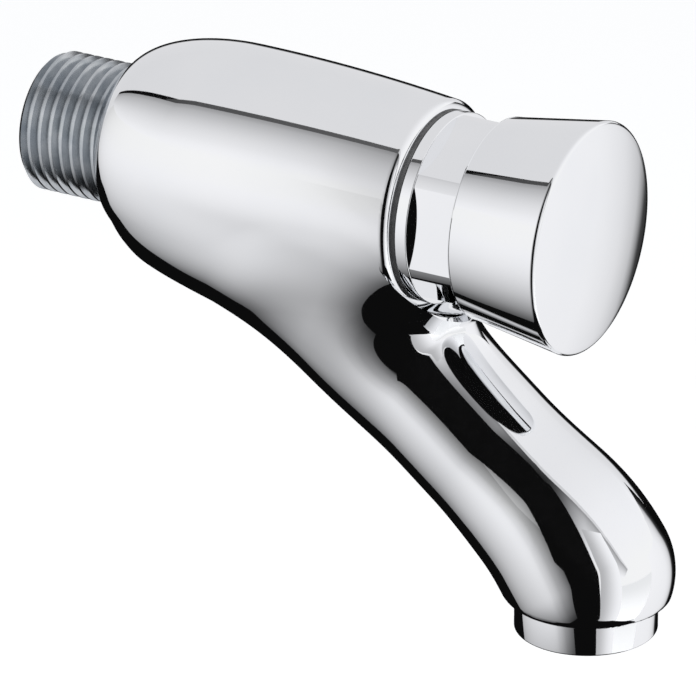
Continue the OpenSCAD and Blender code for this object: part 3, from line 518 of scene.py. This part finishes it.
rim_x = barrel_len - rim_round
rim_r = float(barrel_side(rim_x))
rim_lift, tool_clear, tool_front = 0.01, 0.1, 61.3
inlet_bore = [(-4, 0), (-4, 14), (0, 14), (0, 9), (8, 9), (8, 7.6), (9.5, 7.6)]
valve_bore = [(9.5, 11), (22.4, 11), (22.4, 12.2), (40, 12.2), (40, 13), (barrel_len, 13)]
rim_arc = [(rim_x + rim_round * math.cos(t), rim_r + rim_lift - rim_round * (1 - math.sin(t)))
           for t in [math.pi / 2 * k / 10 for k in range(11)]]
past_rim = [(rim_x, rim_r + tool_clear), (tool_front, rim_r + tool_clear), (tool_front, 0)]
outlet_bore = [(-42, 0), (-42, 6.5), (-48, 6.5), (-48, 9.5), (-60, 9.5), (-60, 0)]
cut(body, turned("front_tool", inlet_bore + valve_bore + rim_arc + past_rim))
cut(body, turned("outlet_tool", outlet_bore, (outlet[0], 0, 0), (0, 0, 1)))
pick(body)
bpy.ops.object.shade_smooth_by_angle(angle=math.radians(32))


def surface_marks():
    """A node group: broad cloudy patches and fine grain over a piece, each from 0 to 1."""
    group = bpy.data.node_groups.new("surface_marks", "ShaderNodeTree")
    for socket in ("Patch Scale", "Grain Scale"):
        group.interface.new_socket(socket, in_out="INPUT", socket_type="NodeSocketFloat")
    group.interface.new_socket("Stretch", in_out="INPUT", socket_type="NodeSocketVector")
    for socket in ("Patches", "Grain"):
        group.interface.new_socket(socket, in_out="OUTPUT", socket_type="NodeSocketFloat")
    ins = group.nodes.new("NodeGroupInput")
    outs = group.nodes.new("NodeGroupOutput")
    place = group.nodes.new("ShaderNodeTexCoord")
    draw = group.nodes.new("ShaderNodeVectorMath")
    draw.operation = "MULTIPLY"
    group.links.new(place.outputs["Object"], draw.inputs[0])
    group.links.new(ins.outputs["Stretch"], draw.inputs[1])
    for scale, vector, out, detail in (("Patch Scale", place.outputs["Object"], "Patches", 3),
                                       ("Grain Scale", draw.outputs[0], "Grain", 5)):
        noise = group.nodes.new("ShaderNodeTexNoise")
        noise.inputs["Detail"].default_value = detail
        group.links.new(vector, noise.inputs["Vector"])
        group.links.new(ins.outputs[scale], noise.inputs["Scale"])
        group.links.new(noise.outputs["Fac"], outs.inputs[out])
    return group


marks = surface_marks()
noise_low, noise_high = 0.3, 0.7
grain_deep = 0.1 * mm


def finish(name, dark, light, rough, metallic, patch, grain, bump, stretch=(1, 1, 1)):
    """A material: two shades in cloudy patches, with roughness and a fine bump from its grain. Patch and
    grain are the scales of the two, and stretch draws the grain out."""
    made = bpy.data.materials.new(name)
    made.use_nodes = True
    tree = made.node_tree
    shader = tree.nodes["Principled BSDF"]
    shader.inputs["Metallic"].default_value = metallic
    worn = tree.nodes.new("ShaderNodeGroup")
    worn.node_tree = marks
    worn.inputs["Patch Scale"].default_value = patch
    worn.inputs["Grain Scale"].default_value = grain
    worn.inputs["Stretch"].default_value = stretch
    shades = tree.nodes.new("ShaderNodeValToRGB")
    shades.color_ramp.elements[0].position = noise_low
    shades.color_ramp.elements[1].position = noise_high
    shades.color_ramp.elements[0].color = (*dark, 1)
    shades.color_ramp.elements[1].color = (*light, 1)
    tree.links.new(worn.outputs["Patches"], shades.inputs["Fac"])
    tree.links.new(shades.outputs["Color"], shader.inputs["Base Color"])
    dull = tree.nodes.new("ShaderNodeMapRange")
    dull.inputs["From Min"].default_value = noise_low
    dull.inputs["From Max"].default_value = noise_high
    dull.inputs["To Min"].default_value = rough[0]
    dull.inputs["To Max"].default_value = rough[1]
    tree.links.new(worn.outputs["Grain"], dull.inputs["Value"])
    tree.links.new(dull.outputs["Result"], shader.inputs["Roughness"])
    if bump:
        relief = tree.nodes.new("ShaderNodeBump")
        relief.inputs["Strength"].default_value = bump
        relief.inputs["Distance"].default_value = grain_deep
        tree.links.new(worn.outputs["Grain"], relief.inputs["Height"])
        tree.links.new(relief.outputs["Normal"], shader.inputs["Normal"])
    return made


chrome = finish("chrome", (0.87, 0.88, 0.895), (0.90, 0.905, 0.915), (0.02, 0.045), 1, 60, 900, 0)


def dress(piece, material, body_name, slot, *nodes):
    """Gives a finished piece its material, the body that carries it and the CAD nodes it stands for."""
    piece.data.materials.clear()
    piece.data.materials.append(material)
    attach(piece, body_name)
    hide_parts(*nodes)


dress(body, chrome, "tap", "chrome", "tap_body")

# The inlet nipple: a turned tail with a rolled half-inch pipe thread that screws into the wall.
# Bare machined metal with fine turning marks, and a plain neck that is fixed in the body.
pitch = 1.814
thread_r = 10.4775
thread_deep = 1.12
thread_len = 14.2
crest_to, root_from, root_to = 0.42, 0.97, 1.264
ridge_from, ridge_turns = -18, 16
blank_from, blank_to = -15, 7.5
tail_bore, neck_bore, bore_step = 8.25, 7, -13
neck_r, neck_len = 8.95, 7
lead_in = 0.9
over_r = thread_r + 0.01
core_r = thread_r - thread_deep
bpy.ops.object.select_all(action="DESELECT")
one_turn = [(0, thread_r), (crest_to, thread_r), (root_from, core_r), (root_to, core_r)]
ridge = [(ridge_from + turn * pitch + a, r) for turn in range(ridge_turns) for a, r in one_turn]
bpy.ops.mesh.primitive_plane_add(size=mm, location=(ridge[0][0] * mm, 0, ridge[0][1] * mm))
nipple = bpy.context.object
nipple.name = "threaded_nipple"
bpy.ops.object.mode_set(mode="EDIT")
bpy.ops.mesh.merge(type="CENTER")
for here, there in zip(ridge, ridge[1:]):
    bpy.ops.mesh.extrude_vertices_move(
        TRANSFORM_OT_translate={"value": ((there[0] - here[0]) * mm, 0, (there[1] - here[1]) * mm)})
bpy.ops.object.mode_set(mode="OBJECT")
bpy.ops.object.transform_apply(location=True, rotation=True, scale=True)
helix = nipple.modifiers.new("helix", "SCREW")
helix.axis = "X"
helix.angle = math.tau
helix.screw_offset = pitch * mm
helix.steps = 120
helix.render_steps = 120
bpy.ops.object.modifier_apply(modifier=helix.name)
bpy.ops.object.mode_set(mode="EDIT")
bpy.ops.mesh.select_all(action="SELECT")
bpy.ops.mesh.remove_doubles(threshold=2e-6)
bpy.ops.mesh.select_all(action="SELECT")
bpy.ops.mesh.bisect(plane_co=(blank_from * mm, 0, 0), plane_no=(1, 0, 0), use_fill=True, clear_inner=True)
bpy.ops.mesh.select_all(action="SELECT")
bpy.ops.mesh.bisect(plane_co=(blank_to * mm, 0, 0), plane_no=(1, 0, 0), use_fill=True, clear_outer=True)
bpy.ops.mesh.select_all(action="SELECT")
bpy.ops.mesh.normals_make_consistent(inside=False)
bpy.ops.object.mode_set(mode="OBJECT")
cut(nipple, turned("nipple_blank", rounded([
    (-thread_len, tail_bore, 0.15), (-thread_len, thread_r - lead_in, 0.15),
    (-thread_len + lead_in, over_r, 0), (0, over_r, 0), (0, neck_r, 0),
    (neck_len, neck_r, 0.2), (neck_len, neck_bore, 0.2), (bore_step, neck_bore, 0),
    (bore_step, tail_bore, 0)])), "INTERSECT")
bpy.ops.object.shade_smooth_by_angle(angle=math.radians(25))
machined = finish("machined_metal", (0.40, 0.43, 0.46), (0.58, 0.60, 0.62), (0.16, 0.28), 1, 300, 2500, 0.08,
                  (1, 0.05, 0.05))
dress(nipple, machined, "tap", "machined_metal", "inlet_nipple")

# The bonnet: turned from bar, with six flats milled for a spanner, screwed into the barrel's front.
# Polished and chromed, with a plain round flange behind the flats.
hex_turn = 6.6
flats_apart = 25
flange_r, flange_x, flats_x, bonnet_x = 14.1, 52.1, 54, 63.5
plug_r, plug_x = 12.95, 40
hex_x, hex_len = 60.7, 14
edge_width = 0.12
bonnet = turned("bonnet_turning", rounded([
    (plug_x, 10.2, 0), (plug_x, plug_r, 0.4), (flange_x, plug_r, 0), (flange_x, flange_r, 0.2),
    (flats_x, flange_r, 0.15), (flats_x, 13.9, 0), (62.7, 13.9, 0.3), (bonnet_x, 12.3, 0.2),
    (bonnet_x, 9.3, 0.2), (51, 9.3, 0), (51, 6, 0), (48.2, 6, 0), (48.2, 4.05, 0), (42, 4.05, 0),
    (42, 10.2, 0)]))
bpy.ops.mesh.primitive_cylinder_add(vertices=6, radius=flats_apart / 2 / math.cos(math.pi / 6) * mm,
                                    depth=hex_len * mm, rotation=(0, 0, math.radians(30 - hex_turn)))
spanner = bpy.context.object
bpy.ops.object.transform_apply(location=True, rotation=True, scale=True)
spanner.rotation_euler = (0, math.pi / 2, 0)
spanner.location = (hex_x * mm, 0, 0)
bpy.ops.object.transform_apply(location=True, rotation=True, scale=True)
shoulder = turned("shoulder", [(38, 0), (38, 20), (flats_x, 20), (flats_x, 0)], steps=32)
cut(spanner, shoulder, "UNION")
cut(bonnet, spanner, "INTERSECT")
edges = bonnet.modifiers.new("edges", "BEVEL")
edges.width = edge_width * mm
edges.segments = 2
edges.limit_method = "ANGLE"
edges.angle_limit = math.radians(28)
bpy.ops.object.modifier_apply(modifier=edges.name)
bpy.ops.object.shade_smooth_by_angle(angle=math.radians(25))
flats = bonnet.modifiers.new("flats", "WEIGHTED_NORMAL")
flats.keep_sharp = True
flats.weight = 100
bpy.ops.object.modifier_apply(modifier=flats.name)
dress(bonnet, chrome, "tap", "chrome", "bonnet")

# The push button: a hollow flared cap with a slightly domed face, turned, polished and chromed,
# screwed onto the spindle by the boss inside it.
button_r, back_r, side_len = 17.15, 15.2, 15.2
back_x, face_x = 61.3, 78
dome_rise = 1.5
edge_r = 0.7
boss_r, boss_x, socket_r, socket_x = 5.5, 67.5, 3, 74.1
flare = math.atan2(button_r - back_r, side_len)
dome_r = (button_r ** 2 + dome_rise ** 2) / (2 * dome_rise)
dome_x = face_x - dome_r
dome_half = math.asin((button_r - edge_r) / (dome_r - edge_r))
edge_x = dome_x + (dome_r - edge_r) * math.cos(dome_half)
edge_y = (dome_r - edge_r) * math.sin(dome_half)
face = [(dome_x + dome_r * math.cos(t), dome_r * math.sin(t)) for t in
        [dome_half * k / 20 for k in range(21)]]
turn_over = [(edge_x + edge_r * math.cos(t), edge_y + edge_r * math.sin(t)) for t in
             [dome_half + (math.pi / 2 + flare - dome_half) * k / 10 for k in range(1, 11)]]
button = turned("button_cap", face + turn_over + rounded([
    (back_x, back_r, 0.15), (back_x, 14.3, 0.15), (73.5, 15.15, 0.6), (73.5, boss_r, 0.4),
    (boss_x, boss_r, 0.2), (boss_x, socket_r, 0), (socket_x, socket_r, 0), (socket_x, 0, 0)]), steps=160)
bpy.ops.object.shade_smooth_by_angle(angle=math.radians(25))
dress(button, chrome, "plunger", "chrome", "push_button")

# The outlet collar: a short turned ring screwed up into the spout's end, chromed. It carries the
# flow straightener and its screens on a small lip.
collar_z, lip_z, collar_top = -61.1, -60, -49.5
collar_r, screwed_r, collar_bore, lip_r = 10.5, 9.45, 8.2, 7.6
collar = turned("outlet_collar", rounded([
    (collar_z, lip_r, 0.1), (collar_z, collar_r, 0.3), (outlet[1], collar_r, 0.1), (outlet[1], screwed_r, 0),
    (collar_top, screwed_r, 0.2), (collar_top, collar_bore, 0.2), (lip_z, collar_bore, 0),
    (lip_z, lip_r, 0.1)]), (outlet[0], 0, 0), (0, 0, 1))
bpy.ops.object.shade_smooth_by_angle(angle=math.radians(25))
dress(collar, chrome, "tap", "chrome", "aerator_housing")

# The return spring: stainless wire wound in seven turns with closed end coils, held between the
# bonnet's bush and the button, which it pushes out again after each use.
steel = finish("spring_steel", (0.42, 0.42, 0.43), (0.58, 0.58, 0.59), (0.18, 0.3), 1, 400, 1500, 0.05)
wire_r = 0.64
coil_r = 8
first_x, last_x = 53.0, 72.7
end_rise = 1.8
free_turns = 5
free_rise = (last_x - first_x - 2 * end_rise) / free_turns
wire_sides, turn_steps = 14, 40
coils = []
for turns, start_x, rise in ((1, first_x, end_rise), (free_turns, first_x + end_rise, free_rise),
                             (1, last_x - end_rise, end_rise)):
    bpy.ops.object.select_all(action="DESELECT")
    bpy.ops.mesh.primitive_circle_add(vertices=wire_sides, radius=wire_r * mm, rotation=(math.pi / 2, 0, 0),
                                      location=(start_x * mm, 0, coil_r * mm))
    coil = bpy.context.object
    bpy.ops.object.transform_apply(location=True, rotation=True, scale=True)
    wind = coil.modifiers.new("wind", "SCREW")
    wind.axis = "X"
    wind.angle = math.tau
    wind.iterations = turns
    wind.screw_offset = rise * mm
    wind.steps = turn_steps
    wind.render_steps = turn_steps
    bpy.ops.object.modifier_apply(modifier=wind.name)
    coils.append(coil)
spring = coils[0]
pick(*coils)
bpy.ops.object.join()
spring.name = "wound_spring"
bpy.ops.object.mode_set(mode="EDIT")
bpy.ops.mesh.select_all(action="SELECT")
bpy.ops.mesh.remove_doubles(threshold=2e-6)
bpy.ops.mesh.select_all(action="DESELECT")
bpy.ops.mesh.select_non_manifold()
bpy.ops.mesh.edge_face_add()
bpy.ops.mesh.select_all(action="SELECT")
bpy.ops.mesh.normals_make_consistent(inside=False)
bpy.ops.object.mode_set(mode="OBJECT")
bpy.ops.object.shade_smooth_by_angle(angle=math.radians(40))
dress(spring, steel, "tap", "steel", "return_spring")
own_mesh(spring)

# The inner pieces: turned brass, steel, moulded plastic, rubber and fibre parts of the timed valve and
# the outlet. They keep their CAD shapes and get their own finishes.
brass = finish("turned_brass", (0.62, 0.43, 0.17), (0.72, 0.52, 0.24), (0.2, 0.34), 1, 200, 1400, 0.08)
rubber = finish("black_rubber", (0.012, 0.012, 0.013), (0.03, 0.03, 0.03), (0.55, 0.75), 0, 300, 1800, 0.2)
fibre = finish("grey_fibre", (0.05, 0.05, 0.052), (0.085, 0.085, 0.086), (0.7, 0.9), 0, 500, 2600, 0.3)
white_plastic = finish("white_plastic", (0.72, 0.72, 0.70), (0.80, 0.80, 0.78), (0.3, 0.42), 0, 150, 1600,
                       0.06)
grey_plastic = finish("grey_plastic", (0.16, 0.17, 0.18), (0.22, 0.23, 0.24), (0.35, 0.5), 0, 150, 1600, 0.08)
fills = {
    brass: ("valve_seat", "spindle", "washer_cup", "washer_nut", "button_nut"),
    steel: ("inlet_strainer", "piston_clip", "bleed_pin", "aerator_screens"),
    rubber: ("seat_o_ring", "sleeve_o_ring", "spindle_o_rings", "piston_lip_seal", "valve_washer",
             "aerator_washer"),
    fibre: ("nipple_seal", "bonnet_gasket"),
    white_plastic: ("timing_sleeve", "piston", "aerator_insert", "flow_regulator"),
    grey_plastic: ("guide_bush",),
}
for material, nodes in fills.items():
    for node in nodes:
        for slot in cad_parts[node].material_slots:
            slot.material = material
